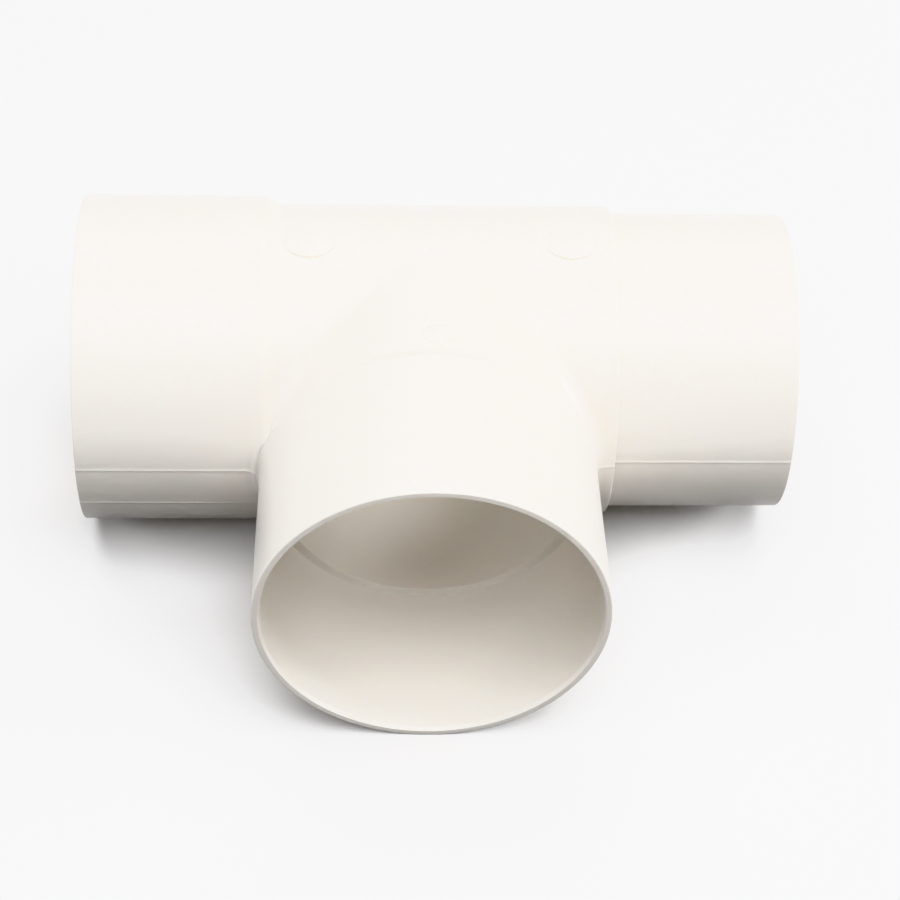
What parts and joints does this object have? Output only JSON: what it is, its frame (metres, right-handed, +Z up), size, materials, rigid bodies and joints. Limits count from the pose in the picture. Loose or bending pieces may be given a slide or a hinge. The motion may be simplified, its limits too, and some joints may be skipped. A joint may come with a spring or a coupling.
{
  "type": "pipe tee",
  "caption": "Rigid plastic rainwater pipe tee: a straight run from a socket to a reduced spigot, with a socketed branch leaving it at a right angle.",
  "frame": {"origin": "under the middle of the fitting's box, on the surface that it lies on", "axes": "+X along the run from the socket to the spigot, -Y along the branch and out of its mouth, +Z up, square to both axes"},
  "size_m": [0.18, 0.1336, 0.0858],
  "materials": {
    "white_pvc": "off-white PVC-U as moulded, semi-gloss"
  },
  "bodies": {
    "root": {"tee_moulding": "white_pvc"}
  },
  "joints": []
}
